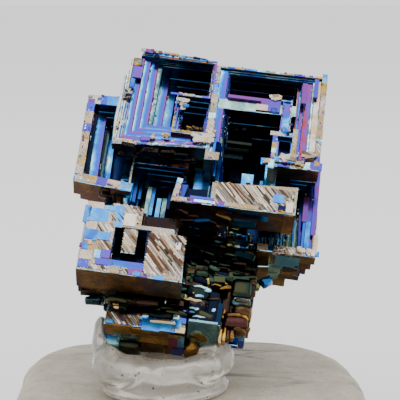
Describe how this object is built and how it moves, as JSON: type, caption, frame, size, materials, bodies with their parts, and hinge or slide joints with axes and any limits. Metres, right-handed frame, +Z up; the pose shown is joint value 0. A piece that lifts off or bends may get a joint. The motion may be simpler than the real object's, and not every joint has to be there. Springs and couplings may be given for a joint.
{
  "type": "bismuth hopper crystal on a display stone",
  "caption": "Iridescent bismuth crystal cluster with stepped square hopper faces, leaned back and held above a flat stone by a lump of clear mounting putty.",
  "frame": {"origin": "on the stone's flat underside, below the middle of the stone", "axes": "+Z up, -Y towards the side that the open hoppers face, +X to the right as seen from that side"},
  "size_m": [0.0441, 0.0478, 0.0494],
  "materials": {
    "bismuth_oxide": "mirror-bright oxide film, shifting from blue and purple to gold, with brown and teal undersides",
    "clear_putty": "translucent, smooth and slightly glossy",
    "weathered_stone": "matt, worn smooth"
  },
  "bodies": {
    "root": {"bismuth_crystal": "bismuth_oxide", "mounting_putty": "clear_putty", "base_stone": "weathered_stone"}
  },
  "joints": []
}
